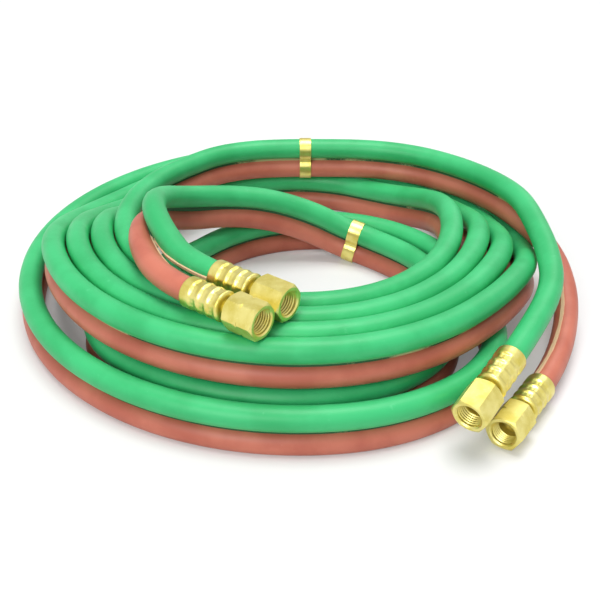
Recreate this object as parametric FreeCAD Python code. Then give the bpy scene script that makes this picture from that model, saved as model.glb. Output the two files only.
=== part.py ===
import FreeCAD, Part
import math
import os

# Coiled twin hose set: a green and a red rubber hose, one above the other, joined by brass bands,
# with a brass swivel nut on a crimped ferrule at each of the four ends. Millimetres, Z up,
# the floor at zero, the middle of the footprint at X 0 Y 0, the front towards -Y.

Vec = FreeCAD.Vector

# Hose
HOSE_DIAMETER = 13.5
HOSE_BORE = 6.4
HOSE_SIDES = 6
HOSE_SPACE = 0.8
FLOOR_CUT = HOSE_DIAMETER / 10
RUN_SHARE = 0.45

# Gaps between hoses are measured at points this far apart, as far as this reach; next to itself
# and next to its own end a hose's nearest points are skipped
GAP_STEP = 4.0
GAP_REACH = HOSE_DIAMETER * 1.5
GAP_SKIP = round(HOSE_DIAMETER * 3.5 / GAP_STEP)

# Where the coil's middle goes. All other places are measured from that middle, and the finished
# shapes are moved by it
COIL_MIDDLE = Vec(4.9, 2.6, 0)

# Coil: a narrow loop about its own middle, then wide loops in lanes that step inwards
PITCH = HOSE_DIAMETER + HOSE_SPACE
STOREY = 2 * PITCH
NARROW_X = 8.0
NARROW_Y = -40.0
NARROW_RADIUS = 72.0
NARROW_GROWTH = 18.0
INNER_LANE = 106.0
FIRST_LANE = 3.0
OUTER_LANES = 4.15
SWING_LANE_TO = 400
SQUEEZE = 16.6
SQUEEZE_ANGLE = 5.6
COIL_START = 45
COIL_END = 2115
STATION_STEP = 45
SLOPE_STEP = 0.5

# Swivel nut, hexagon across flats, 9/16-18 inside thread
NUT_FLATS = 17.5
NUT_SIDES = 6
NUT_LENGTH = 19.0
NUT_WALL = 4.5
NUT_THREAD_MINOR = 6.45
NUT_RELIEF_RADIUS = 7.2
NUT_THREAD_LENGTH = 9.0
NUT_CHAMFER = 1.2
NUT_FACE_EDGE = 0.2
NOTCH_DEPTH = 0.9
NOTCH_WIDTH = 2.4
RUN_CLEARANCE = 0.3

# Nipple inside the nut
NECK_RADIUS = 4.0
NECK_LENGTH = 9.8
NOSE_RADIUS = 6.2
NOSE_LENGTH = 4.6
NOSE_EDGE = 0.8
NIPPLE_BORE = 3.6
NIPPLE_WALL = 0.6
NOSE_BEND_ALONG = 0.65
NOSE_BEND_IN = 0.35
TAIL_SHORT = 2.0
BARB_TAPER = 1.5
BARB_DEPTH = 0.5

# Crimped ferrule
FERRULE_LENGTH = 24.0
FERRULE_FLATS = 14.9
FERRULE_RIDGE_RADIUS = 8.2
FERRULE_BELL_LENGTH = 4.5
FERRULE_FIT = 0.05
FERRULE_CAP = 1.5
CRIMP_BANDS = 3
RIDGE_WIDTH = 1.3
CRIMP_SIDES = 8
BELL_EDGE = 0.8
RIDGE_EDGE = 0.4
CAP_STEP = 2.0

# Band clip round both hoses
CLIP_WIDTH = 8.0
CLIP_THICKNESS = 0.6
CLIP_FIT = 0.45

RADIUS = HOSE_DIAMETER / 2
RED_HEIGHT = RADIUS - FLOOR_CUT


def ramp(value, start, end):
    # Eases from 0 at start to 1 at end
    share = min(1.0, max(0.0, (value - start) / (end - start)))
    return share * share * (3 - 2 * share)


# Sweep angles run clockwise from the back of the coil: 90 right, 180 front, 270 left, 360 back.
# The first narrow turn swings out to the front and back in, the second swings out for good.
FIRST_OUT = (94.5, 178.5)
FIRST_IN = (215, 305)
SECOND_OUT = (448, 528)
WIDE_START = 720
LANE_CHANGE = (20, 140)
# Parts of a lane by which turns lean in, so that the ones above and beside them pass
LEAN_IN = 0.15
LEAN_IN_OVER = 150
LEAN_THIRD = (292, 350)
LEAN_LATE = 0.5
RISING_TURNS = 3
# The wide turns rise at the right, where the narrow turns pass under them, and sink at the left
RISES = [(80, 131), (63, 124), (46.5, 114.5), (25, 94.5)]
SINKS = [(246, 302), (252, 304), (256, 306)]


def wide_share(sweep):
    return ramp(sweep, *FIRST_OUT) - ramp(sweep, *FIRST_IN) + ramp(sweep, *SECOND_OUT)


def lane_radius(sweep):
    # The lane of the wide turns, all but the outermost drawn in a little at the right
    if sweep < SWING_LANE_TO:
        lane = FIRST_LANE
    elif sweep < WIDE_START:
        lane = OUTER_LANES
    else:
        turn = int((sweep - WIDE_START) // 360)
        along = (sweep - WIDE_START) % 360
        lane = OUTER_LANES - turn - ramp(along, *LANE_CHANGE)
        lane -= LEAN_IN * ramp(sweep, WIDE_START, WIDE_START + LEAN_IN_OVER)
        if turn == RISING_TURNS - 1:
            lane -= LEAN_LATE * ramp(along, *LEAN_THIRD)
        if turn >= RISING_TURNS:
            lane -= LEAN_LATE - LEAN_LATE * ramp(along, *LANE_CHANGE)
    radius = INNER_LANE + PITCH * lane
    if SWING_LANE_TO <= sweep < WIDE_START:
        return radius
    away = math.radians(90 - sweep - SQUEEZE_ANGLE)
    return radius - SQUEEZE * max(0.0, math.cos(away)) ** 2


def storey(sweep):
    # 0 on the floor, 1 on top of the turns below
    if sweep < WIDE_START:
        return 0.0
    turn = int((sweep - WIDE_START) // 360)
    along = (sweep - WIDE_START) % 360
    height = ramp(along, *RISES[min(turn, RISING_TURNS)])
    if turn < RISING_TURNS:
        height -= ramp(along, *SINKS[turn])
    return height


def red_point(sweep):
    angle = math.radians(90 - sweep)
    share = wide_share(sweep)
    narrow = NARROW_RADIUS + NARROW_GROWTH * (sweep - COIL_START) / 360
    wide = lane_radius(sweep)
    x = (1 - share) * (NARROW_X + narrow * math.cos(angle)) + share * wide * math.cos(angle)
    y = (1 - share) * (NARROW_Y + narrow * math.sin(angle)) + share * wide * math.sin(angle)
    return Vec(x, y, RED_HEIGHT + STOREY * storey(sweep))


def coil_point(sweep, lift):
    # The green hose lies square above the red one, also where both climb
    heading = (red_point(sweep + SLOPE_STEP) - red_point(sweep - SLOPE_STEP)).normalize()
    side = heading.cross(Vec(0, 0, 1)).normalize()
    return red_point(sweep) + side.cross(heading) * lift


def coil_heading(sweep, lift):
    step = coil_point(sweep + SLOPE_STEP, lift) - coil_point(sweep - SLOPE_STEP, lift)
    return step.normalize()


def arc_edge(start, corner, end):
    # The arc that leaves start towards corner and comes into end from it
    middle = (start + end) * 0.5
    rise = corner - middle
    half = (end - start).Length / 2
    turn = math.atan2(rise.Length, half)
    top = middle + rise * (math.tan(turn / 2) / math.tan(turn))
    return Part.Arc(start, top, end).toShape()


def biarc(start, first, end, last):
    # Two arcs that meet smoothly between two stations
    chord = end - start
    both = first + last
    bend = 2 * (1 - first.dot(last))
    reach = (-chord.dot(both) + math.sqrt(chord.dot(both) ** 2 + bend * chord.dot(chord))) / bend
    meet = (start + end + (first - last) * reach) * 0.5
    return [arc_edge(start, start + first * reach, meet), arc_edge(meet, end - last * reach, end)]


def coil_stations():
    # Even steps, with one more station in the middle of each step that climbs or sinks
    stations = []
    for sweep in range(COIL_START, COIL_END, STATION_STEP):
        stations.append(sweep)
        if storey(sweep) != storey(sweep + STATION_STEP):
            stations.append(sweep + STATION_STEP / 2)
    return stations + [COIL_END]


def coil_path(lift):
    edges = []
    stations = coil_stations()
    for sweep, after in zip(stations, stations[1:]):
        edges += biarc(coil_point(sweep, lift), coil_heading(sweep, lift),
                       coil_point(after, lift), coil_heading(after, lift))
    return edges


def run_path(points, name):
    # Straight runs joined by arcs as large as the shorter run beside each point allows
    edges = []
    radii = []
    place = points[0]
    for before, point, after in zip(points, points[1:], points[2:]):
        back = before - point
        on = after - point
        cut = RUN_SHARE * min(back.Length, on.Length)
        enter = point + back.normalize() * cut
        leave = point + on.normalize() * cut
        radii.append(cut * math.tan(back.getAngle(on) / 2))
        edges.append(Part.LineSegment(place, enter).toShape())
        edges.append(arc_edge(enter, point, leave))
        place = leave
    edges.append(Part.LineSegment(place, points[-1]).toShape())
    print(name, "bend radii", [round(radius) for radius in radii])
    return edges


def tube(edges, name):
    # A hose along a path: an even-sided section, swept
    path = Part.Wire(edges)
    start = edges[0].valueAt(edges[0].FirstParameter)
    heading = edges[0].tangentAt(edges[0].FirstParameter)
    side = heading.cross(Vec(0, 0, 1)).normalize()
    up = side.cross(heading)
    corners = []
    for index in range(HOSE_SIDES + 1):
        angle = 2 * math.pi * (index + 0.5) / HOSE_SIDES
        corners.append(start + side * (RADIUS * math.cos(angle)) + up * (RADIUS * math.sin(angle)))
    section = Part.makePolygon(corners)
    solid = path.makePipeShell([section], True, False)
    if solid.Volume < 0:
        solid.reverse()
    expected = path.Length * HOSE_SIDES / 2 * RADIUS ** 2 * math.sin(2 * math.pi / HOSE_SIDES)
    print(name, "length", round(path.Length), "volume share", round(solid.Volume / expected, 4),
          "valid", solid.isValid())
    return solid


def above_floor(solid):
    box = solid.BoundBox
    slab = Part.makeBox(box.XLength, box.YLength, HOSE_DIAMETER, Vec(box.XMin, box.YMin, -HOSE_DIAMETER))
    return solid.cut(slab)


def points_along(edges):
    # Points a few millimetres apart, for measuring gaps
    points = []
    for edge in edges:
        count = max(2, int(edge.Length / GAP_STEP) + 1)
        points += edge.discretize(Number=count)[:-1]
    points.append(edges[-1].valueAt(edges[-1].LastParameter))
    return points


def least_gap(first, second, apart):
    # Between two centre lines, or one and itself beyond a number of points along
    least = (GAP_REACH, None)
    for i, point in enumerate(first):
        for j, other in enumerate(second):
            if apart and abs(i - j) < apart:
                continue
            if abs(point.x - other.x) > GAP_REACH or abs(point.y - other.y) > GAP_REACH:
                continue
            gap = point.distanceToPoint(other) - HOSE_DIAMETER
            if gap < least[0]:
                least = (gap, point)
    return least


def revolve(outline):
    # Outline points are (along, radius), turned about the X axis
    corners = [Vec(along, radius, 0) for along, radius in outline]
    face = Part.Face(Part.makePolygon(corners + [corners[0]]))
    return face.revolve(Vec(0, 0, 0), Vec(1, 0, 0), 360)


def prism(flats, sides, start, length):
    # A bar with an even number of flats along X, one of them facing down
    corner = flats / 2 / math.cos(math.pi / sides)
    points = []
    for index in range(sides + 1):
        angle = 2 * math.pi * (index + 0.5) / sides
        points.append(Vec(start, corner * math.sin(angle), corner * math.cos(angle)))
    return Part.Face(Part.makePolygon(points)).extrude(Vec(length, 0, 0))


def rod(radius, start, end):
    return Part.makeCylinder(radius, end - start, Vec(start, 0, 0), Vec(1, 0, 0))


NUT_START = NECK_LENGTH - RUN_CLEARANCE - NUT_WALL
NUT_END = NUT_START + NUT_LENGTH


def make_ferrule():
    # Smooth bell at the hose side, then bands of crimped flats between raised ridges
    outer = RADIUS + FERRULE_FIT
    bell_end = FERRULE_BELL_LENGTH - FERRULE_LENGTH
    ridge = FERRULE_RIDGE_RADIUS
    body = revolve([(-FERRULE_LENGTH, 0), (-FERRULE_LENGTH, ridge - BELL_EDGE),
                    (BELL_EDGE - FERRULE_LENGTH, ridge), (bell_end - BELL_EDGE, ridge),
                    (bell_end, ridge - BELL_EDGE), (bell_end, 0)])
    band = (FERRULE_LENGTH - FERRULE_BELL_LENGTH - CRIMP_BANDS * RIDGE_WIDTH) / CRIMP_BANDS
    pieces = []
    for index in range(CRIMP_BANDS):
        start = bell_end + index * (band + RIDGE_WIDTH)
        pieces.append(prism(FERRULE_FLATS, CRIMP_SIDES, start, band))
        pieces.append(rod(ridge, start + band, start + band + RIDGE_WIDTH))
    pieces.append(revolve([(0, 0), (0, ridge - RIDGE_EDGE),
                           (FERRULE_CAP, ridge - CAP_STEP), (FERRULE_CAP, 0)]))
    body = body.fuse(pieces).removeSplitter()
    body = body.cut(rod(outer, -FERRULE_LENGTH - FERRULE_CAP, 0))
    return body.cut(rod(NECK_RADIUS, -FERRULE_CAP, FERRULE_CAP * 2))


def make_nipple():
    # A tail in the hose, a neck through the nut's wall and a rounded seat inside the nut
    bore = NIPPLE_BORE / 2
    tail = HOSE_BORE / 2
    start = TAIL_SHORT - FERRULE_LENGTH
    shoulder = NECK_LENGTH + NOSE_EDGE
    tip = NECK_LENGTH + NOSE_LENGTH
    tip_radius = bore + NIPPLE_WALL
    bend = (shoulder + (tip - shoulder) * NOSE_BEND_ALONG,
            NOSE_RADIUS + (tip_radius - NOSE_RADIUS) * NOSE_BEND_IN)
    return revolve([(start, bore), (start, tail - BARB_DEPTH), (start + BARB_TAPER, tail), (0, tail),
                    (0, NECK_RADIUS), (NECK_LENGTH, NECK_RADIUS), (NECK_LENGTH, NOSE_RADIUS),
                    (shoulder, NOSE_RADIUS), bend, (tip, tip_radius), (tip, bore)])


def make_nut(notched):
    # Hexagon nut with chamfered ends, a wall that the nipple's nose pulls on, relief and thread bore
    corner = NUT_FLATS / 2 / math.cos(math.pi / NUT_SIDES)
    face = NUT_FLATS / 2 - NUT_FACE_EDGE
    slope = corner + NUT_FACE_EDGE
    body = prism(NUT_FLATS, NUT_SIDES, NUT_START, NUT_LENGTH)
    envelope = revolve([(NUT_START, 0), (NUT_START, face), (NUT_START + NUT_CHAMFER, slope),
                        (NUT_END - NUT_CHAMFER, slope), (NUT_END, face), (NUT_END, 0)])
    body = body.common(envelope)
    mouth = NUT_END - NUT_THREAD_LENGTH
    lead = NUT_RELIEF_RADIUS - NUT_THREAD_MINOR
    hollow = revolve([(NUT_START + NUT_WALL, 0), (NUT_START + NUT_WALL, NUT_RELIEF_RADIUS),
                      (mouth, NUT_RELIEF_RADIUS), (mouth, NUT_THREAD_MINOR),
                      (NUT_END - lead, NUT_THREAD_MINOR), (NUT_END, NUT_RELIEF_RADIUS), (NUT_END, 0)])
    body = body.cut(hollow)
    body = body.cut(rod(NECK_RADIUS + RUN_CLEARANCE, NUT_START - NUT_WALL, NUT_START + NUT_WALL * 2))
    if notched:
        middle = (NUT_START + NUT_END) / 2
        groove = revolve([(middle - NOTCH_WIDTH / 2, corner), (middle, corner - NOTCH_DEPTH),
                          (middle + NOTCH_WIDTH / 2, corner)])
        body = body.cut(groove)
    return body


def make_clip():
    # A thin band, bent round the two hoses one above the other, along X
    def loop(radius):
        low = Vec(0, 0, 0)
        high = Vec(0, 0, PITCH)
        side = Vec(0, radius, 0)
        top = Vec(0, 0, radius)
        edges = [Part.LineSegment(low + side, high + side).toShape(),
                 Part.Arc(high + side, high + top, high - side).toShape(),
                 Part.LineSegment(high - side, low - side).toShape(),
                 Part.Arc(low - side, low - top, low + side).toShape()]
        return Part.Face(Part.Wire(edges)).extrude(Vec(CLIP_WIDTH, 0, 0))
    inside = RADIUS + CLIP_FIT
    band = loop(inside + CLIP_THICKNESS).cut(loop(inside))
    band.translate(Vec(-CLIP_WIDTH / 2, 0, 0))
    return band


def facing(place, heading):
    # The placement that lays the X axis along heading with the Z axis as far up as it goes
    side = Vec(0, 0, 1).cross(heading).normalize()
    up = heading.cross(side)
    return FreeCAD.Placement(place, FreeCAD.Rotation(heading, side, up, "XZY"))


# Where the hose ends stand, in the middle of the cut end, and where their fittings point
END_PLACE = {
    "green_inner": (Vec(-24, -118, 65.2), Vec(0.79, -0.61, 0)),
    "red_inner": (Vec(-36.5, -135, 65.2), Vec(0.79, -0.61, 0)),
    "green_outer": (Vec(94, -152, 29.5), Vec(-0.56, -0.81, -0.17)),
    "red_outer": (Vec(113, -145.7, 10.4), Vec(-0.56, -0.83, 0)),
}
END_STRAIGHT = 45.0

# Free stretches, points by hand from the coil towards the fitting: first the red hose where both lie
# together, then each hose where it lies alone
INNER_TWIN = [(24.5, 32, 10), (2, 33, 21), (-23, 30, 30.5), (-47, 24.5, 35)]
INNER_RED = [(-71, 12, 38.5), (-87, -8, 50), (-91, -36, 60.5), (-88, -68, 63.5)]
INNER_GREEN = [(-71, 11, 55), (-84, -14, 67), (-83.5, -43, 74.5), (-73, -70, 71)]
OUTER_TWIN = [(-36, 101, 34), (-14, 104, 34), (18, 104.5, 34), (50, 103, 34), (80, 93.5, 34),
              (106, 75, 34), (127, 50, 34.3), (140, 22, 34.8)]
OUTER_RED = [(151, -8, 33.5), (156, -38, 27), (154, -66, 16.5)]
OUTER_GREEN = [(143, -12, 47.5), (144, -44, 45), (140, -76, 41)]
FIRST_RUN = {"inner": 20.0, "outer": 24.0}
# The inner ends' points are for a narrow loop of this radius, and draw in or out with it
INNER_POINTS_RADIUS = 72.0
# The run of each end that its band clip sits on
CLIP_RUN = {"inner": 1, "outer": 3}


def raised(points, lift):
    # The green hose's points square above the red one's, the first and last of which stay out
    above = []
    for before, point, after in zip(points, points[1:], points[2:]):
        heading = (after - point).normalize() + (point - before).normalize()
        heading.normalize()
        side = heading.cross(Vec(0, 0, 1)).normalize()
        above.append(point + side.cross(heading) * lift)
    return above


def spot(point, which):
    x, y, z = point
    if which == "inner":
        share = NARROW_RADIUS / INNER_POINTS_RADIUS
        return Vec(NARROW_X + (x - NARROW_X) * share, NARROW_Y + (y - NARROW_Y) * share, z)
    return Vec(x, y, z)


def twin_route(which, sweep, outward, twin, tail):
    # From the coil's end, straight on from its last turn, to the last point that both hoses share
    start = coil_point(sweep, 0)
    onward = start + coil_heading(sweep, 0) * (outward * FIRST_RUN[which])
    return [start, onward] + [spot(point, which) for point in twin + tail[:1]]


def route(colour, which):
    if which == "inner":
        sweep, outward, twin = COIL_START, -1, INNER_TWIN
        tails = {"red": INNER_RED, "green": INNER_GREEN}
    else:
        sweep, outward, twin = COIL_END, 1, OUTER_TWIN
        tails = {"red": OUTER_RED, "green": OUTER_GREEN}
    shared = twin_route(which, sweep, outward, twin, tails["red"])
    if colour == "green":
        start = coil_point(sweep, PITCH)
        above = raised(shared, PITCH)
        heading = coil_heading(sweep, PITCH) * outward
        above[0] = start + heading * (above[0] - start).dot(heading)
        shared = [start] + above
    else:
        shared = shared[:-1]
    place, heading = END_PLACE[colour + "_" + which]
    heading.normalize()
    tail = [spot(point, which) for point in tails[colour]]
    return shared + tail + [place - heading * END_STRAIGHT, place]


def at(shape, placement):
    shape.Placement = placement
    return shape


def write(shape, name):
    shape.translate(COIL_MIDDLE)
    shape.exportStep("parts/" + name + ".step")
    print(name, "valid", shape.isValid(), "volume", round(shape.Volume))


def main():
    os.makedirs("parts", exist_ok=True)
    paths = {}
    for colour, lift in (("red", 0.0), ("green", PITCH)):
        paths[colour + "_hose_coil"] = coil_path(lift)
        for which in ("inner", "outer"):
            paths[colour + "_hose_" + which + "_end"] = run_path(route(colour, which), colour + " " + which)
    lines = {name: points_along(edges) for name, edges in paths.items()}
    names = sorted(lines)
    for index, name in enumerate(names):
        for other in names[index:]:
            if name == other:
                least, here = least_gap(lines[name], lines[other], GAP_SKIP)
            elif name.split("_")[0] == other.split("_")[0] and "coil" in name + other:
                least, here = least_gap(lines[name][GAP_SKIP:-GAP_SKIP], lines[other][GAP_SKIP:-GAP_SKIP], 0)
            else:
                least, here = least_gap(lines[name], lines[other], 0)
            if least < GAP_REACH:
                print("least gap", name, other, round(least, 2), [round(v) for v in here])
    for colour in ("red", "green"):
        total = 0.0
        for name in names:
            if name.startswith(colour):
                total += sum(edge.Length for edge in paths[name])
        print(colour, "hose length", round(total))
    for name, edges in paths.items():
        solid = tube(edges, name)
        if name.endswith("_end"):
            place, heading = END_PLACE[name.split("_")[0] + "_" + name.split("_")[2]]
            depth = FERRULE_LENGTH - TAIL_SHORT
            solid = solid.cut(Part.makeCylinder(HOSE_BORE / 2, depth, place - heading * depth, heading))
        if solid.BoundBox.ZMin < 0:
            solid = above_floor(solid)
        write(solid, name)
    ferrules = []
    nipples = []
    for end, (place, heading) in END_PLACE.items():
        stand = facing(place, heading)
        ferrules.append(at(make_ferrule(), stand))
        nipples.append(at(make_nipple(), stand))
        write(at(make_nut(end.startswith("red")), stand), end + "_nut")
        print(end, "nut mouth", place + heading * NUT_END, "heading", heading)
    write(Part.makeCompound(ferrules), "crimped_ferrules")
    write(Part.makeCompound(nipples), "nipples")
    clips = []
    for which, run in CLIP_RUN.items():
        first, last = route("red", which)[run:run + 2]
        clips.append(at(make_clip(), facing((first + last) * 0.5, (last - first).normalize())))
    write(Part.makeCompound(clips), "band_clips")


main()
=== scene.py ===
# Coiled twin gas hose: a green hose on a red one, band clips, crimped ferrules and swivel nuts
import math

import bmesh
import bpy
from mathutils import Matrix, Vector


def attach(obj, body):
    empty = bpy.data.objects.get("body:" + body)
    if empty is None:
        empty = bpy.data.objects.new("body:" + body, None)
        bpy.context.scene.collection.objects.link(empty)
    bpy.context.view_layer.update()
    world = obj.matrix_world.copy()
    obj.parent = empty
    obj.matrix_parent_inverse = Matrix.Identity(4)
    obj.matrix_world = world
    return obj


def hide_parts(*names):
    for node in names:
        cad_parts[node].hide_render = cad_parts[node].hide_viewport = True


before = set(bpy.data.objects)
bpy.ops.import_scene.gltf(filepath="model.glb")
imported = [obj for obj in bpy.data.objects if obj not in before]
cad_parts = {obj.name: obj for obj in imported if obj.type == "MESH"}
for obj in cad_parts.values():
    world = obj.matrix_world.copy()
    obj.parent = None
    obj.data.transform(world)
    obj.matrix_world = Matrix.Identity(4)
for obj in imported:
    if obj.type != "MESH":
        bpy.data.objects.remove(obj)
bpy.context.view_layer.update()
mm = 0.001
root = "hose_set"
print("frame loaded:", len(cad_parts), "nodes")


# view

view = {
    "place": (4.9, -539.7, 317.2),       # millimetres
    "tilt": 31.36,                       # degrees below level
    "lens": 58.84,
}

cameraData = bpy.data.cameras.new("photoView")
cameraData.lens = view["lens"]
camera = bpy.data.objects.new("photoView", cameraData)
bpy.context.collection.objects.link(camera)
camera.location = Vector(view["place"]) * mm
camera.rotation_euler = (math.radians(90 - view["tilt"]), 0, 0)
bpy.context.scene.camera = camera
print("camera placed")


# hoses, in millimetres from the coil's middle

hose = {
    "diameter": 13.5,
    "space": 0.8,                        # between the green hose and the red one under it
    "flat": 1.35,                        # how far the red hose is flattened where it lies on the floor
    "middle": (4.9, 2.6, 0.0),           # of the coil, from the middle of the footprint
    "covered": 24.0,                     # how much of each end its ferrule covers
    "leftOut": 18.0,                     # how much of that is left out of the hose
    "lastRun": 45.0,                     # where the last run to each fitting begins, from the cut hose end
    "bevel": 10,                         # for 24 sides
    "smooth": 8,                         # steps of the spline from point to point
    "lengths": {"green": 5.24, "red": 5.29},    # metres
}
hose["radius"] = hose["diameter"] / 2
hose["pitch"] = hose["diameter"] + hose["space"]
hose["storey"] = 2 * hose["pitch"]
hose["low"] = hose["radius"] - hose["flat"]

# the coil's sweeps are in degrees, clockwise from the back: 90 right, 180 front, 270 left
coil = {
    "start": 45,
    "end": 2115,
    "step": 15,                          # between the points of a turn
    "slopeStep": 0.5,                    # to either side of a place, for its heading
    "narrow": (8.0, -40.0, 72.0, 18.0),  # the first turns' middle, radius and growth in a turn
    "firstOut": (94.5, 178.5),           # the first one swings out to the front
    "firstIn": (215, 305),               # and back in
    "secondOut": (448, 528),             # and the second one swings out for good
    "innerLane": 106.0,                  # radius of lane 0, the innermost one of the wide turns
    "firstLane": 3.0, "firstLaneTo": 400,    # lane of the first swing, and up to which sweep
    "outerLane": 4.15,                   # lane from there on, from which the wide turns move in
    "squeeze": (16.6, 5.6),              # how far turns are drawn in at the right, and degrees behind it
    "wideStart": 720,                    # from here each wide turn has its own sweeps, from 0 to 360
    "laneChange": (20, 140),             # where a turn moves in by a lane
    "rises": [(80, 131), (63, 124), (46.5, 114.5), (25, 94.5)],     # where it climbs onto the turns below
    "sinks": [(246, 302), (252, 304), (256, 306)],                  # and comes down again
    "lean": 0.15, "leanOver": 150,       # parts of a lane by which all wide turns lean in, and its sweep
    "lateLean": 0.5,                     # and by which the third leans in at its end, and the fourth out
    "lateLeanFrom": (292, 350),
}
risingTurns = len(coil["sinks"])         # the turn after these stays up

# the free ends: points listed from the coil to the fittings, first where both hoses lie together,
# then each hose by itself
freeEnds = {
    "Inner": {
        "sweep": coil["start"], "outward": -1, "firstRun": 20.0,
        "twin": [(24.5, 32, 10), (2, 33, 21), (-23, 30, 30.5), (-47, 24.5, 35)],
        "red": [(-71, 12, 38.5), (-87, -8, 50), (-91, -36, 60.5), (-88, -68, 63.5)],
        "green": [(-71, 11, 55), (-84, -14, 67), (-83.5, -43, 74.5), (-73, -70, 71)],
    },
    "Outer": {
        "sweep": coil["end"], "outward": 1, "firstRun": 24.0,
        "twin": [(-36, 101, 34), (-14, 104, 34), (18, 104.5, 34), (50, 103, 34), (80, 93.5, 34),
                 (106, 75, 34), (127, 50, 34.3), (140, 22, 34.8)],
        "red": [(151, -8, 33.5), (156, -38, 27), (154, -66, 16.5)],
        "green": [(143, -12, 47.5), (144, -44, 45), (140, -76, 41)],
    },
}
endPlace = {                             # middle of the cut hose end, and where the fitting points
    "greenInner": ((-24, -118, 65.2), (0.79, -0.61, 0)),
    "redInner": ((-36.5, -135, 65.2), (0.79, -0.61, 0)),
    "greenOuter": ((94, -152, 29.5), (-0.56, -0.81, -0.17)),
    "redOuter": ((113, -145.7, 10.4), (-0.56, -0.83, 0)),
}


def ramp(value, start, end):
    # eases from 0 at start to 1 at end
    share = min(1.0, max(0.0, (value - start) / (end - start)))
    return share * share * (3 - 2 * share)


def laneRadius(sweep):
    secondSwing = coil["firstLaneTo"] <= sweep < coil["wideStart"]
    if sweep < coil["firstLaneTo"]:
        lane = coil["firstLane"]
    elif secondSwing:
        lane = coil["outerLane"]
    else:
        turn, along = divmod(sweep - coil["wideStart"], 360)
        lane = coil["outerLane"] - turn - ramp(along, *coil["laneChange"])
        lane -= coil["lean"] * ramp(sweep, coil["wideStart"], coil["wideStart"] + coil["leanOver"])
        if turn == risingTurns - 1:
            lane -= coil["lateLean"] * ramp(along, *coil["lateLeanFrom"])
        if turn >= risingTurns:
            lane -= coil["lateLean"] - coil["lateLean"] * ramp(along, *coil["laneChange"])
    reach = coil["innerLane"] + hose["pitch"] * lane
    if secondSwing:
        return reach
    drawn, side = coil["squeeze"]
    away = math.radians(90 - sweep - side)
    return reach - drawn * max(0.0, math.cos(away)) ** 2


def storey(sweep):
    # 0 on the floor, 1 on top of the turns below
    if sweep < coil["wideStart"]:
        return 0.0
    turn, along = divmod(sweep - coil["wideStart"], 360)
    turn = int(turn)
    height = ramp(along, *coil["rises"][min(turn, risingTurns)])
    if turn < risingTurns:
        height -= ramp(along, *coil["sinks"][turn])
    return height


def redPoint(sweep, swell=1.0):
    angle = math.radians(90 - sweep)
    share = ramp(sweep, *coil["firstOut"]) - ramp(sweep, *coil["firstIn"]) + ramp(sweep, *coil["secondOut"])
    middleX, middleY, radius, growth = coil["narrow"]
    narrow = (radius + growth * (sweep - coil["start"]) / 360) * swell
    wide = laneRadius(sweep) * swell
    x = (1 - share) * (middleX + narrow * math.cos(angle)) + share * wide * math.cos(angle)
    y = (1 - share) * (middleY + narrow * math.sin(angle)) + share * wide * math.sin(angle)
    return Vector((x, y, hose["low"] + hose["storey"] * storey(sweep)))


def coilPoint(sweep, lift, swell=1.0):
    # the green hose lies square above the red one, also where both climb
    heading = redPoint(sweep + coil["slopeStep"]) - redPoint(sweep - coil["slopeStep"])
    side = heading.cross(Vector((0, 0, 1))).normalized()
    return redPoint(sweep, swell) + side.cross(heading.normalized()) * lift


def coilHeading(sweep, lift):
    ahead = coilPoint(sweep + coil["slopeStep"], lift)
    return (ahead - coilPoint(sweep - coil["slopeStep"], lift)).normalized()


def raised(shared):
    # the green hose's points square above the red one's, the first and last of which stay out
    above = []
    for before, point, after in zip(shared, shared[1:], shared[2:]):
        heading = ((after - point).normalized() + (point - before).normalized()).normalized()
        side = heading.cross(Vector((0, 0, 1))).normalized()
        above.append(point + side.cross(heading) * hose["pitch"])
    return above


def freeEnd(colour, which):
    # from the coil out to the fitting
    run = freeEnds[which]
    start = coilPoint(run["sweep"], 0)
    shared = [start, start + coilHeading(run["sweep"], 0) * (run["outward"] * run["firstRun"])]
    shared += [Vector(point) for point in run["twin"]]
    if colour == "green":
        points = raised(shared + [Vector(run["red"][0])])
        high = coilPoint(run["sweep"], hose["pitch"])
        heading = coilHeading(run["sweep"], hose["pitch"]) * run["outward"]
        points[0] = high + heading * (points[0] - high).dot(heading)
    else:
        points = shared[1:]
    place, heading = endPlace[colour + which]
    place = Vector(place)
    heading = Vector(heading).normalized()
    points += [Vector(point) for point in run[colour]]
    return points + [place - heading * hose["lastRun"], place - heading * hose["leftOut"]]


def hosePoints(colour):
    lift = hose["pitch"] if colour == "green" else 0.0
    # the spline goes through the middle of each run and a quarter of the way out to a point between
    swell = 1 / (0.75 + 0.25 * math.cos(math.radians(coil["step"])))
    points = freeEnd(colour, "Inner")[::-1]
    points.append(coilPoint(coil["start"], lift))
    for sweep in range(coil["start"] + coil["step"], coil["end"], coil["step"]):
        points.append(coilPoint(sweep, lift, swell))
    points.append(coilPoint(coil["end"], lift))
    return points + freeEnd(colour, "Outer")


def inFrame(point):
    # from millimetres about the coil's middle to metres about the middle of the footprint
    return (Vector(point) + Vector(hose["middle"])) * mm


def splineMesh(points, thickness):
    # a smooth tube along the points, or for no thickness its bare middle line, as a mesh
    curve = bpy.data.curves.new("route", "CURVE")
    curve.dimensions = "3D"
    curve.twist_mode = "Z_UP"
    curve.resolution_u = hose["smooth"]
    curve.bevel_depth = thickness / 2
    curve.bevel_resolution = hose["bevel"]
    curve.use_fill_caps = True
    spline = curve.splines.new("NURBS")
    spline.points.add(len(points) - 1)
    for control, point in zip(spline.points, points):
        control.co = (*inFrame(point), 1.0)
    spline.order_u = 3
    spline.use_endpoint_u = True
    route = bpy.data.objects.new("route", curve)
    mesh = bpy.data.meshes.new_from_object(route)
    bpy.data.objects.remove(route)
    bpy.data.curves.remove(curve)
    return mesh


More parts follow.
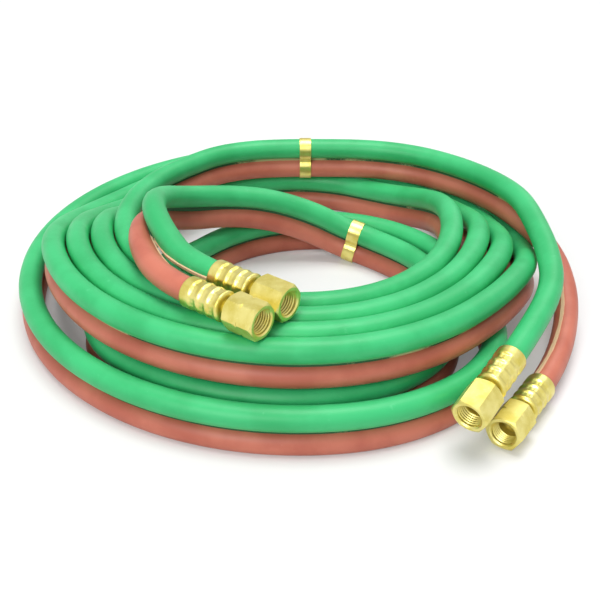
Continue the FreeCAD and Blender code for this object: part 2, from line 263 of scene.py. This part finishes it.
hoses = {}
lines = {}
for colour, length in hose["lengths"].items():
    points = hosePoints(colour)
    line = splineMesh(points, 0.0)
    lines[colour] = [vertex.co.copy() for vertex in line.vertices]
    bpy.data.meshes.remove(line)
    tube = splineMesh(points, hose["diameter"] * mm)
    tube.name = colour + "Hose"
    for vertex in tube.vertices:         # flat where it lies on the floor
        vertex.co.z = max(vertex.co.z, 0.0)
    piece = bpy.data.objects.new(colour + "Hose", tube)
    bpy.context.collection.objects.link(piece)
    hoses[colour] = piece
    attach(piece, root)
    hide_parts(colour + "_hose_coil", colour + "_hose_inner_end", colour + "_hose_outer_end")
    colour + "_rubber"
    place, heading = endPlace[colour + "Inner"]
    colour + "_outer_nut"
print("hoses laid:", {colour: len(line) for colour, line in lines.items()})


def joinRings(form, rings):
    # faces from each ring of corners to the next
    for ring, after in zip(rings, rings[1:]):
        for index in range(len(ring)):
            other = (index + 1) % len(ring)
            form.faces.new((ring[index], ring[other], after[other], after[index]))


def meshPiece(name, form, smooth=False):
    mesh = bpy.data.meshes.new(name)
    bmesh.ops.recalc_face_normals(form, faces=form.faces)
    for face in form.faces:
        face.smooth = smooth
    form.to_mesh(mesh)
    form.free()
    piece = bpy.data.objects.new(name, mesh)
    bpy.context.collection.objects.link(piece)
    return piece


# the rubber web that joins the hoses, and its torn edges where they part

web = {
    "half": 2.1,                         # half its thickness
    "sunk": 0.7,                         # how far it reaches into each hose
    "parts": 1.3,                        # spare distance between the hoses at which it is torn
    "thinOver": 12,                      # rows over which it thins out at either end
    "overlap": 6,                        # rows by which the torn edges begin beside it
    "edgeHalf": 1.15, "edgeSunk": 0.5, "edgeRise": 0.65,
    "edgeTop": 0.7,                      # how wide a torn edge is at its top, as a share of its foot
    "ragged": 0.2,                       # how far each side of it wavers, and twice as far as its top
    "wavers": (1.7, 0.61),               # how fast, in radians from row to row
    "bellReach": 23.6,                   # from the cut hose end to just inside the ferrule's bell
}


def strip(name, rows):
    # a closed strip through rows of four corners
    form = bmesh.new()
    rings = [[form.verts.new(corner) for corner in row] for row in rows]
    joinRings(form, rings)
    form.faces.new(rings[0][::-1])
    form.faces.new(rings[-1])
    piece = meshPiece(name, form)
    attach(piece, root)
    return piece


def headings(line):
    ends = [line[0]] + line + [line[-1]]
    return [(after - before).normalized() for before, after in zip(ends, ends[2:])]


def webRows(part):
    # the web between both hoses, thinner towards either end
    inside = (hose["radius"] - web["sunk"]) * mm
    rows = []
    for index, (low, high, heading, _) in enumerate(part):
        up = (high - low).normalized()
        thin = min(1.0, (index + 1) / web["thinOver"], (len(part) - index) / web["thinOver"])
        side = heading.cross(up).normalized() * web["half"] * thin * mm
        foot = low + up * inside
        head = high - up * inside
        rows.append((foot - side, foot + side, head + side, head - side))
    return rows


def tornRows(colour, part, end):
    # what is left of the web on one hose, out to the fitting at its end
    fast, slow = web["wavers"]
    rows = []
    for index, (low, high, lowHeading, highHeading) in enumerate(part):
        here, there, heading = (low, high, lowHeading) if colour == "red" else (high, low, highHeading)
        if (here - end).length < web["bellReach"] * mm:
            continue
        up = there - here
        up = (up - heading * up.dot(heading)).normalized()
        wave = math.sin(index * fast) * math.sin(index * slow + 1) * web["ragged"]
        side = heading.cross(up).normalized() * (web["edgeHalf"] + wave) * mm
        foot = here + up * ((hose["radius"] - web["edgeSunk"]) * mm)
        head = here + up * ((hose["radius"] + web["edgeRise"] + wave / 2) * mm)
        rows.append((foot - side, foot + side, head + side * web["edgeTop"], head - side * web["edgeTop"]))
    return rows


pairs = list(zip(lines["red"], lines["green"], headings(lines["red"]), headings(lines["green"])))
joined = [index for index, (low, high, _, _) in enumerate(pairs)
          if (high - low).length < (hose["pitch"] + web["parts"]) * mm]
firstJoined, lastJoined = joined[0], joined[-1]
webStrips = [strip("rubberWeb", webRows(pairs[firstJoined:lastJoined + 1]))]
for colour in ("red", "green"):
    for which, part in (("Inner", pairs[:firstJoined + web["overlap"]]),
                        ("Outer", pairs[lastJoined + 1 - web["overlap"]:])):
        end = inFrame(endPlace[colour + which][0])
        webStrips.append(strip(colour + which + "TornEdge", tornRows(colour, part, end)))
print("web laid:", len(webStrips), "strips")


# ferrules, crimped from tube

ferrule = {
    "length": hose["covered"], "cap": 1.5, "bell": 5.6,
    "bore": 6.85, "neck": 4.0,
    "lining": 5.0,                       # how far in its bore is made
    "ridge": 8.2, "round": 0.9,
    "capStep": 2.0,                      # how far the cap rounds down
    "bands": 3,
    "groove": 0.35,                      # how deep a band is pressed all round
    "dent": 0.4, "dentCount": 8,         # and how much deeper each of its dents is
    "pressedFrom": (0.0, 0.3),           # shares of a band over which the tool bites
    "pressedTo": (0.58, 0.98),           # and over which it lets go
    "dentEdge": (0.16, 0.48),            # shares of a dent over which it ends, from its middle
    "around": 96, "stepAlong": 0.4,
}


def fittingFrame(name):
    # a matrix from the fitting's own frame: X along it from the cut hose end, Z as far up as it goes
    place, heading = endPlace[name]
    along = Vector(heading).normalized()
    side = Vector((0, 0, 1)).cross(along).normalized()
    turn = Matrix((along, side, along.cross(side))).transposed().to_4x4()
    return Matrix.Translation(inFrame(place)) @ turn @ Matrix.Scale(mm, 4)


def ferruleRadius(along, angle):
    start = along + ferrule["length"]
    size = ferrule["ridge"]
    if start < ferrule["round"]:
        inRound = 1 - start / ferrule["round"]
        size -= ferrule["round"] * (1 - math.sqrt(max(0.0, 1 - inRound ** 2)))
    if along > 0:
        return size - ferrule["capStep"] * (along / ferrule["cap"]) ** 2
    place = start - ferrule["bell"]
    if place < 0:
        return size
    span = (ferrule["length"] - ferrule["bell"]) / ferrule["bands"]
    inBand = (place % span) / span
    pressed = ramp(inBand, *ferrule["pressedFrom"]) - ramp(inBand, *ferrule["pressedTo"])
    part = 2 * math.pi / ferrule["dentCount"]
    off = abs((angle + part / 2) % part - part / 2)
    inner, outer = ferrule["dentEdge"]
    dented = 1 - ramp(off, part * inner, part * outer)
    return size - pressed * (ferrule["groove"] + ferrule["dent"] * dented)


def ferruleForm(form, frameHere):
    angles = [2 * math.pi * index / ferrule["around"] for index in range(ferrule["around"])]
    bore = [ferrule["bore"]] * len(angles)
    profile = [(ferrule["lining"] - ferrule["length"], bore), (-ferrule["length"], bore)]
    steps = round((ferrule["length"] + ferrule["cap"]) / ferrule["stepAlong"])
    for index in range(steps + 1):
        along = index * ferrule["stepAlong"] - ferrule["length"]
        profile.append((along, [ferruleRadius(along, angle) for angle in angles]))
    profile.append((ferrule["cap"], [ferrule["neck"]] * len(angles)))
    rings = []
    for along, sizes in profile:
        spots = [Vector((along, size * math.sin(angle), size * math.cos(angle)))
                 for angle, size in zip(angles, sizes)]
        rings.append([form.verts.new(frameHere @ spot) for spot in spots])
    joinRings(form, rings)


form = bmesh.new()
for name in endPlace:
    ferruleForm(form, fittingFrame(name))
ferrules = meshPiece("crimpedFerrules", form, smooth=True)
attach(ferrules, root)
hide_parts("crimped_ferrules")
print("ferrules crimped")


# band clips, bent round both hoses

clip = {
    "width": 8.0, "thickness": 0.6,
    "fit": 0.1,                          # between band and hose
    "waist": 1.8, "waistOver": 2.6,      # how far it is pinched in between the hoses
    "edge": 0.15,
    "around": 32,                        # steps in each quarter of the way round
}


def bandOutline(half):
    # once round: the height of the middle of the bend, the way out from there, and the pinch
    count = clip["around"]
    outline = []
    for end in (1, -1):
        for index in range(count):
            angle = math.pi * index / count
            outline.append((half * end, math.cos(angle) * end, math.sin(angle) * end, 0.0))
        for index in range(count):
            height = half * end * (1 - 2 * index / count)
            pinch = clip["waist"] * math.exp(-(height / clip["waistOver"]) ** 2)
            outline.append((height, -end, 0.0, pinch))
    return outline


def bandForm(form, low, high, heading):
    up = (high - low).normalized()
    side = heading.cross(up).normalized()
    middle = (low + high) / 2
    inner = hose["radius"] + clip["fit"]
    outer = inner + clip["thickness"]
    wide = clip["width"] / 2
    section = [(inner, -wide), (outer - clip["edge"], -wide), (outer, clip["edge"] - wide),
               (outer, wide - clip["edge"]), (outer - clip["edge"], wide), (inner, wide)]
    rings = []
    for height, outSide, outUp, pinch in bandOutline((high - low).length / mm / 2):
        ring = []
        for size, along in section:
            reach = size - pinch
            spot = side * (outSide * reach) + up * (height + outUp * reach) + heading * along
            ring.append(form.verts.new(middle + spot * mm))
        rings.append(ring)
    joinRings(form, rings + rings[:1])


# each clip sits on the middle of a run that both hoses share
innerStart = coilPoint(coil["start"], 0) - coilHeading(coil["start"], 0) * freeEnds["Inner"]["firstRun"]
clipRuns = [(innerStart, Vector(freeEnds["Inner"]["twin"][0])),
            (Vector(freeEnds["Outer"]["twin"][1]), Vector(freeEnds["Outer"]["twin"][2]))]
form = bmesh.new()
for first, last in clipRuns:
    spot = inFrame((first + last) / 2)
    low, high, heading, _ = min(pairs, key=lambda pair: (pair[0] - spot).length)
    bandForm(form, low, high, heading)
clips = meshPiece("bentBandClips", form)
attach(clips, root)
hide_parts("band_clips")
print("band clips bent:", len(clipRuns))


# threads inside the swivel nuts

thread = {
    "pitch": 25.4 / 18,                  # 18 to the inch
    "root": 6.55, "crest": 5.95,
    "from": 15.2, "to": 22.8,            # from the cut hose end
    "rootHalf": 0.46, "crestHalf": 0.09,     # half widths of the ridge, as shares of the pitch
    "around": 40,
    "fadeOver": 10,                      # steps over which it runs out at either end
}
nutBodies = {"greenInner": "green_inner_nut_body", "redInner": "red_inner_nut_body",
             "greenOuter": "green_outer_nut_body", "redOuter": "red_outer_nut_body"}


def threadForm(form, frameHere, hand):
    # hand is 1 for a right-hand thread and -1 for a left-hand one
    count = int((thread["to"] - thread["from"]) / thread["pitch"] * thread["around"])
    rings = []
    for index in range(count + 1):
        angle = hand * 2 * math.pi * index / thread["around"]
        along = thread["from"] + thread["pitch"] * index / thread["around"]
        fade = min(1.0, index / thread["fadeOver"], (count - index) / thread["fadeOver"])
        crest = thread["root"] - (thread["root"] - thread["crest"]) * fade
        ring = []
        for size, shift in ((thread["root"], -thread["rootHalf"]), (crest, -thread["crestHalf"]),
                            (crest, thread["crestHalf"]), (thread["root"], thread["rootHalf"])):
            spot = Vector((along + shift * thread["pitch"], size * math.sin(angle), size * math.cos(angle)))
            ring.append(form.verts.new(frameHere @ spot))
        rings.append(ring)
    joinRings(form, rings)


threads = []
for name, body in nutBodies.items():
    form = bmesh.new()
    threadForm(form, fittingFrame(name), -1 if name.startswith("red") else 1)
    piece = meshPiece(name + "Thread", form)
    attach(piece, body)
    threads.append(piece)
print("threads cut:", len(threads))


# shader maths, and the finishes of rubber and brass

class Wire:
    # a value or colour on its way through a material
    def __init__(self, paint, socket):
        self.paint = paint
        self.socket = socket

    def __add__(self, other):
        return self.paint.maths("ADD", self, other)

    def __radd__(self, other):
        return self.paint.maths("ADD", other, self)

    def __sub__(self, other):
        return self.paint.maths("SUBTRACT", self, other)

    def __rsub__(self, other):
        return self.paint.maths("SUBTRACT", other, self)

    def __mul__(self, other):
        return self.paint.maths("MULTIPLY", self, other)

    def __rmul__(self, other):
        return self.paint.maths("MULTIPLY", other, self)


class Paint:
    # the node tree of one material, or of the world
    def __init__(self, tree):
        self.tree = tree
        tree.nodes.clear()

    def node(self, kind, settings, values, out=0):
        # any node: its type, its settings, the values or links of its sockets, and what comes out
        made = self.tree.nodes.new(kind)
        for name, setting in settings.items():
            setattr(made, name, setting)
        for name, value in values.items():
            socket = made.inputs[name]
            if isinstance(value, Wire):
                self.tree.links.new(value.socket, socket)
            else:
                socket.default_value = value
        return Wire(self, made.outputs[out])

    def maths(self, operation, first, second):
        return self.node("ShaderNodeMath", {"operation": operation}, {0: first, 1: second})

    def mix(self, share, first, second):
        # of two colours, which are the node's sockets 6 and 7, and output 2
        return self.node("ShaderNodeMix", {"data_type": "RGBA"}, {0: share, 6: first, 7: second}, out=2)

    def noise(self, place, scale, detail, roughness=0.5):
        # its values lie about 0.5
        values = {"Vector": place, "Scale": scale, "Detail": detail, "Roughness": roughness}
        return self.node("ShaderNodeTexNoise", {}, values, out="Fac")

    def between(self, value, low, high):
        return self.node("ShaderNodeMapRange", {"interpolation_type": "SMOOTHSTEP"},
                         {"Value": value, "From Min": low, "From Max": high})

    def place(self, stretch=(1, 1, 1)):
        spot = self.node("ShaderNodeTexCoord", {}, {}, out="Object")
        if stretch == (1, 1, 1):
            return spot
        return self.node("ShaderNodeVectorMath", {"operation": "MULTIPLY"}, {0: spot, 1: stretch})

    def bump(self, height, relief):
        strength, depth = relief
        return self.node("ShaderNodeBump", {}, {"Strength": strength, "Distance": depth, "Height": height},
                         out="Normal")

    def finish(self, surface, kind="ShaderNodeOutputMaterial"):
        end = self.tree.nodes.new(kind)
        self.tree.links.new(surface.socket, end.inputs["Surface"])


def material(name):
    made = bpy.data.materials.new(name)
    made.use_nodes = True
    return made, Paint(made.node_tree)


def srgb(red, green, blue):
    # a colour as a screen shows it, 0 to 255, in linear light
    linear = []
    for value in (red, green, blue):
        share = value / 255
        linear.append(share / 12.92 if share <= 0.04045 else ((share + 0.055) / 1.055) ** 2.4)
    return (*linear, 1.0)


rubber = {
    "green": {"base": srgb(60, 192, 119), "deep": srgb(47, 176, 104), "dust": srgb(126, 212, 164)},
    "red": {"base": srgb(205, 119, 97), "deep": srgb(187, 100, 80), "dust": srgb(220, 156, 136)},
    "clouds": (34.0, 4.0),               # scale and detail of a noise, and how rough it is
    "grain": (900.0, 3.0),
    "scuffs": (190.0, 6.0, 0.65),
    "deepTo": (0.35, 0.65),              # where the clouds turn from deep to base
    "scuffed": (0.63, 0.74),             # where the noise turns into scuffs
    "dusty": 0.22,                       # how much dust a scuff holds
    "rough": 0.46, "roughGrain": 0.14, "roughScuffs": 0.1,
    "specular": 0.42,
    "bump": (0.22, 0.00012),             # strength, and depth in metres
    "bumpClouds": 0.6,                   # how high the clouds are beside the grain
}


def rubberMaterial(colour):
    made, paint = material(colour + "Rubber")
    tint = rubber[colour]
    spot = paint.place()
    clouds = paint.noise(spot, *rubber["clouds"])
    grain = paint.noise(spot, *rubber["grain"])
    scuffs = paint.between(paint.noise(spot, *rubber["scuffs"]), *rubber["scuffed"])
    body = paint.mix(paint.between(clouds, *rubber["deepTo"]), tint["deep"], tint["base"])
    body = paint.mix(scuffs * rubber["dusty"], body, tint["dust"])
    rough = rubber["rough"] + (grain - 0.5) * rubber["roughGrain"] + scuffs * rubber["roughScuffs"]
    surface = paint.node("ShaderNodeBsdfPrincipled", {}, {
        "Base Color": body, "Roughness": rough, "Specular IOR Level": rubber["specular"],
        "Normal": paint.bump(grain + clouds * rubber["bumpClouds"], rubber["bump"])})
    paint.finish(surface)
    return made


brass = {
    "base": srgb(232, 220, 134), "warm": srgb(214, 198, 96), "pale": srgb(246, 238, 180),
    "clouds": (120.0, 4.0),
    "grain": (700.0, 4.0, 0.6),
    "warmFrom": (0.35, 0.7),             # where the clouds turn from base to warm
    "paleFrom": (0.5, 0.75),             # where the grain turns pale
    "paleShare": 0.25,
    "roughGrain": 0.1,
    "bump": (0.05, 0.00005),
    "finishes": {                        # stretch of the grain, roughness, and how metallic it is
        "turnedBrass": ((1, 1, 1), 0.36, 0.8),
        "crimpedBrass": ((1, 1, 1), 0.32, 0.9),
        "rolledBrass": ((1, 1, 4), 0.36, 0.9),
    },
}


def brassMaterial(name):
    made, paint = material(name)
    stretch, rough, metal = brass["finishes"][name]
    clouds = paint.noise(paint.place(), *brass["clouds"])
    grain = paint.noise(paint.place(stretch), *brass["grain"])
    tone = paint.mix(paint.between(clouds, *brass["warmFrom"]), brass["base"], brass["warm"])
    tone = paint.mix(paint.between(grain, *brass["paleFrom"]) * brass["paleShare"], tone, brass["pale"])
    surface = paint.node("ShaderNodeBsdfPrincipled", {}, {
        "Base Color": tone, "Metallic": metal, "Roughness": rough + (grain - 0.5) * brass["roughGrain"],
        "Normal": paint.bump(grain, brass["bump"])})
    paint.finish(surface)
    return made


torn = {                                 # rubber torn where the hoses part
    # painted shade: the dark green of the web and of the untorn rubber on the torn edges stands in for the
    # shade in the crease between the hoses
    "creaseShade": srgb(36, 92, 56),
    "clouds": (14.0, 3.0),
    "fibres": (800.0, 5.0, 0.7),
    "frayed": 0.12,                      # how much the fibres fray the edge of a torn patch
    "bareFrom": (0.62, 0.68),            # where the clouds turn into torn patches, less the share below
    "rough": 0.75, "roughFibres": 0.2,
    "bump": (0.6, 0.0004),
    "finishes": {                        # how much more is torn, and the colour there
        "webRubber": (0.06, srgb(178, 186, 134)),
        "tornRubber": (0.4, srgb(226, 192, 152)),
    },
}


def tornMaterial(name):
    made, paint = material(name)
    share, pale = torn["finishes"][name]
    low, high = torn["bareFrom"]
    spot = paint.place()
    clouds = paint.noise(spot, *torn["clouds"])
    fibres = paint.noise(spot, *torn["fibres"])
    bare = paint.between(clouds + (fibres - 0.5) * torn["frayed"], low - share, high - share)
    surface = paint.node("ShaderNodeBsdfPrincipled", {}, {
        # the untorn rubber gets the painted crease shade, and the torn patches get their pale colour
        "Base Color": paint.mix(bare, torn["creaseShade"], pale),
        "Roughness": torn["rough"] + (fibres - 0.5) * torn["roughFibres"],
        "Normal": paint.bump(fibres, torn["bump"])})
    paint.finish(surface)
    return made


for colour, piece in hoses.items():
    piece.data.materials.append(rubberMaterial(colour))
tornFinishes = {name: tornMaterial(name) for name in torn["finishes"]}
for piece in webStrips:
    piece.data.materials.append(tornFinishes["webRubber" if piece.name == "rubberWeb" else "tornRubber"])
brassFinishes = {name: brassMaterial(name) for name in brass["finishes"]}
for name in ("green_inner_nut", "red_inner_nut", "green_outer_nut", "red_outer_nut", "nipples"):
    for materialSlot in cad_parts[name].material_slots:
        materialSlot.material = brassFinishes["turnedBrass"]
for piece in threads:
    piece.data.materials.append(brassFinishes["turnedBrass"])
ferrules.data.materials.append(brassFinishes["crimpedBrass"])
clips.data.materials.append(brassFinishes["rolledBrass"])
print("materials set")


# floor and lamps

studio = {
    "floorHalf": 4.0,                    # metres from its middle to its sides
    "floorShade": 0.7,
    "floorCells": 8,
    "cameraLift": 0.15,                  # added for the camera and reflections, so that the floor is white
    "room": 0.3,                         # how much the room lights what isn't shiny
    "dim": 0.35,                         # how much less a shiny piece mirrors of the room behind it
    "dimBehind": (0.0, 0.8),             # how far back it looks where that begins, and where it is full
    "lamps": {                           # place and size in metres, and watts
        "keyLamp": ((0.2, 0.4, 5.0), 3.2, 190.0),
        "fillLamp": ((-1.8, -3.8, 2.8), 3.0, 125.0),
        "backLamp": ((2.0, 3.0, 3.0), 2.7, 35.0),
    },
}
white = (1, 1, 1, 1)

bpy.context.scene.view_settings.view_transform = "Standard"

for name, (place, size, power) in studio["lamps"].items():
    lampData = bpy.data.lights.new(name, "AREA")
    lampData.shape = "DISK"
    lampData.size = size
    lampData.energy = power
    lamp = bpy.data.objects.new(name, lampData)
    lamp.location = place
    lamp.rotation_euler = (-Vector(place)).to_track_quat("-Z", "Y").to_euler()
    bpy.context.collection.objects.link(lamp)

world = bpy.data.worlds.new("paleRoom")
world.use_nodes = True
bpy.context.scene.world = world
air = Paint(world.node_tree)
seen = air.node("ShaderNodeLightPath", {}, {}, out="Is Camera Ray")
shine = air.node("ShaderNodeLightPath", {}, {}, out="Is Glossy Ray")
through = air.node("ShaderNodeLightPath", {}, {}, out="Is Transmission Ray")
way = air.node("ShaderNodeTexCoord", {}, {}, out="Generated")
back = air.node("ShaderNodeSeparateXYZ", {}, {"Vector": way}, out="Y")
dim = air.between(back, *studio["dimBehind"]) * studio["dim"]
strength = studio["room"] + (1 - studio["room"]) * (seen + shine + through) - shine * dim
light = air.node("ShaderNodeBackground", {}, {"Color": white, "Strength": strength})
air.finish(light, "ShaderNodeOutputWorld")

floorMesh = bpy.data.meshes.new("floor")
form = bmesh.new()
cells = studio["floorCells"]
bmesh.ops.create_grid(form, x_segments=cells, y_segments=cells, size=studio["floorHalf"])
form.to_mesh(floorMesh)
form.free()
floor = bpy.data.objects.new("floor", floorMesh)
bpy.context.collection.objects.link(floor)
floorPaint, paint = material("paleFloor")
seen = paint.node("ShaderNodeLightPath", {}, {}, out="Is Camera Ray")
shine = paint.node("ShaderNodeLightPath", {}, {}, out="Is Glossy Ray")
shade = paint.node("ShaderNodeBsdfDiffuse", {}, {"Color": (studio["floorShade"],) * 3 + (1.0,)})
lift = (seen + shine) * studio["cameraLift"]
glow = paint.node("ShaderNodeEmission", {}, {"Color": white, "Strength": lift})
paint.finish(paint.node("ShaderNodeAddShader", {}, {0: shade, 1: glow}))
floorMesh.materials.append(floorPaint)
print("floor and lamps set")
